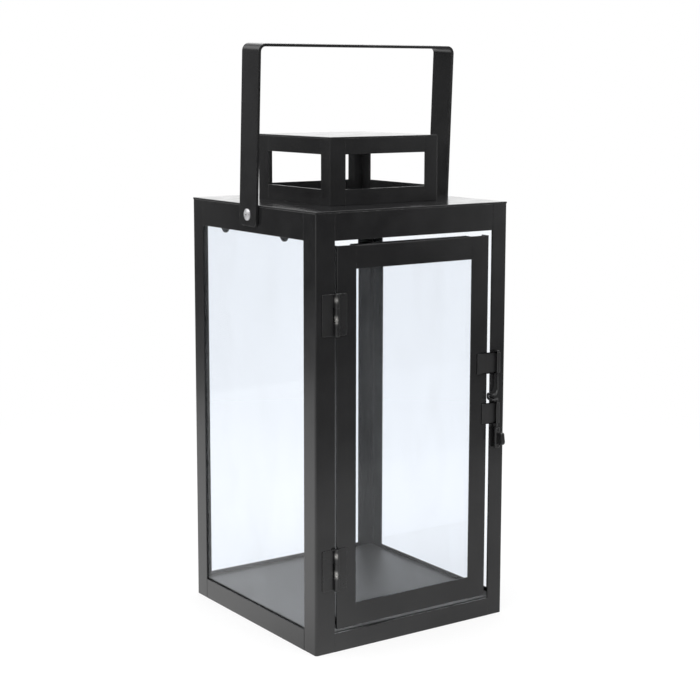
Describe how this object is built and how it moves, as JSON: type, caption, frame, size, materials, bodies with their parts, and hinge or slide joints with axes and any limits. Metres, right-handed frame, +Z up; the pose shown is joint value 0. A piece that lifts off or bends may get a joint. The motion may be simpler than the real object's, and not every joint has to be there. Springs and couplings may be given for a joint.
{
  "type": "candle lantern",
  "caption": "Square sheet-metal candle lantern with a hinged glazed door, a turning wire latch, glass sides, a vented roof cap and a swinging flat strap handle.",
  "frame": {"origin": "middle of the square base, on the ground", "axes": "+Z up, -Y out through the door, +X to the right when facing the door"},
  "size_m": [0.1578, 0.1595, 0.3792],
  "materials": {
    "painted_sheet": "satin dark charcoal enamel on folded sheet steel",
    "hinge_metal": "satin dark enamel, rubbed brighter on the knuckles",
    "latch_metal": "satin dark enamel on formed sheet and round wire",
    "strap_metal": "satin dark enamel on flat strap",
    "floor_metal": "satin dark enamel on the flat floor pan",
    "glass": "clear float glass, 2 mm",
    "bright_rivet": "bare domed rivet, bright"
  },
  "bodies": {
    "frame": {"base_rail_front": "painted_sheet", "base_rail_left": "painted_sheet", "base_rail_rear": "painted_sheet", "base_rail_right": "painted_sheet", "cap_low_rail_front": "painted_sheet", "cap_low_rail_left": "painted_sheet", "cap_low_rail_rear": "painted_sheet", "cap_low_rail_right": "painted_sheet", "cap_post_front_left": "painted_sheet", "cap_post_front_right": "painted_sheet", "cap_post_rear_left": "painted_sheet", "cap_post_rear_right": "painted_sheet", "cap_top": "painted_sheet", "cap_top_rail_front": "painted_sheet", "cap_top_rail_left": "painted_sheet", "cap_top_rail_rear": "painted_sheet", "cap_top_rail_right": "painted_sheet", "floor_pan": "floor_metal", "hinge_pin_lower": "hinge_metal", "hinge_pin_upper": "hinge_metal", "hinge_post_leaf_lower": "hinge_metal", "hinge_post_leaf_upper": "hinge_metal", "pane_left": "glass", "pane_rear": "glass", "pane_right": "glass", "pane_tabs_left": "painted_sheet", "pane_tabs_rear": "painted_sheet", "pane_tabs_right": "painted_sheet", "pivot_rivet_left": "bright_rivet", "pivot_rivet_right": "bright_rivet", "post_front_left": "painted_sheet", "post_front_right": "painted_sheet", "post_rear_left": "painted_sheet", "post_rear_right": "painted_sheet", "roof_plate": "painted_sheet", "top_rail_front": "painted_sheet", "top_rail_left": "painted_sheet", "top_rail_rear": "painted_sheet", "top_rail_right": "painted_sheet"},
    "door": {"door_clips": "painted_sheet", "door_pane": "glass", "door_rail_bottom": "painted_sheet", "door_rail_top": "painted_sheet", "door_stile_hinge": "painted_sheet", "door_stile_latch": "painted_sheet", "hinge_door_leaf_lower": "hinge_metal", "hinge_door_leaf_upper": "hinge_metal", "latch_leaf_lower": "latch_metal", "latch_leaf_upper": "latch_metal"},
    "latch": {"latch_wire": "latch_metal", "latch_thumb": "latch_metal"},
    "handle": {"handle_strap": "strap_metal"}
  },
  "joints": [
    {"name": "door_swing", "type": "hinge", "parent": "frame", "child": "door", "pos_m": [-0.0604, -0.07675, 0.1324], "axis": [0, 0, 1], "range_deg": [-165, 0]},
    {"name": "latch_turn", "type": "hinge", "parent": "door", "child": "latch", "pos_m": [0.067, -0.0773, 0.1483], "axis": [0, 0, -1], "range_deg": [-90, 35]},
    {"name": "handle_swing", "type": "hinge", "parent": "frame", "child": "handle", "pos_m": [0, 0, 0.271], "axis": [1, 0, 0], "range_deg": [-130, 87]}
  ]
}
